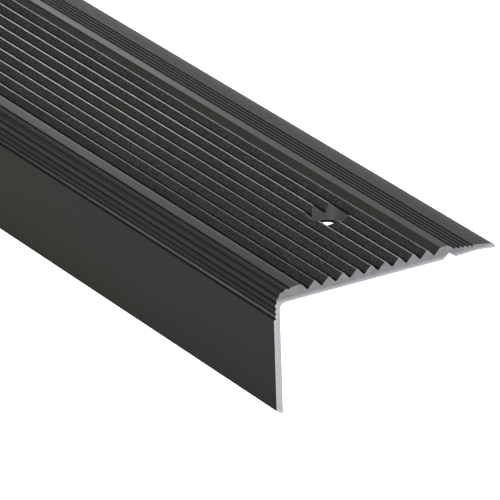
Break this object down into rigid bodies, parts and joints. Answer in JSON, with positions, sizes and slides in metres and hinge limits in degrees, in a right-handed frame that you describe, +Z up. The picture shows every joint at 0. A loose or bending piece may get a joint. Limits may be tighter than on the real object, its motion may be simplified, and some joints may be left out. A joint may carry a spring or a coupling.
{
  "type": "stair nosing",
  "caption": "Long aluminium angle profile with a ribbed tread flange, a grooved rounded nose, a plain front leg and countersunk screw holes, dark anodised.",
  "frame": {"origin": "centre of the bounding box's bottom face, on the floor that the profile lies on", "axes": "+X along the profile, +Z up; the front leg is on the -Y side and the lip on the +Y side. It lies ribs up, on the leg's toe and the lip's edge, so the tread flange falls 25.0 degrees towards +Y"},
  "size_m": [0.9, 0.054, 0.0227],
  "materials": {
    "nosing": "satin dark bronze anodised, bare sawn metal on the cut ends"
  },
  "bodies": {
    "root": {"nosing": "nosing"}
  },
  "joints": []
}
